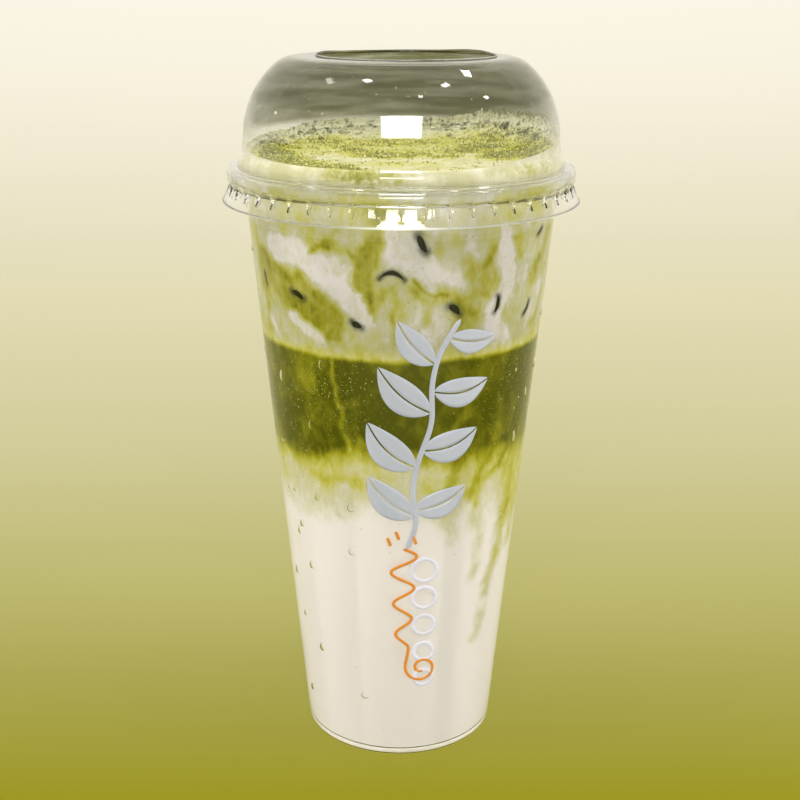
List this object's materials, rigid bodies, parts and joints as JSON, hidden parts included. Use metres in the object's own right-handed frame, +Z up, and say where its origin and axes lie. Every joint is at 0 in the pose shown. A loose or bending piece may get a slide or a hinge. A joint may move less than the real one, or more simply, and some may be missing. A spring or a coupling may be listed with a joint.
{
  "type": "matcha latte",
  "caption": "Iced matcha latte in layers of milk, green tea and marbled milk under foam, in a tall clear tapered cup with a clear dome lid that has an open top.",
  "frame": {"origin": "centre of the cup's foot, on the surface that the cup stands on", "axes": "+Z up along the cup's axis; +Y away from the side that carries the printed sprig, +X to the right of someone facing that side"},
  "size_m": [0.1, 0.1, 0.2021],
  "materials": {
    "cup_plastic": "clear, glossy",
    "lid_plastic": "clear, glossy",
    "milk": "smooth liquid behind clear plastic",
    "matcha": "smooth liquid with fine specks",
    "marbled": "milk with green swirls",
    "foam": "fine foam dusted with tea powder"
  },
  "bodies": {
    "root": {"cup": "cup_plastic", "lid": "lid_plastic", "milk": "milk", "matcha": "matcha", "marbled": "marbled", "foam": "foam"}
  },
  "joints": []
}
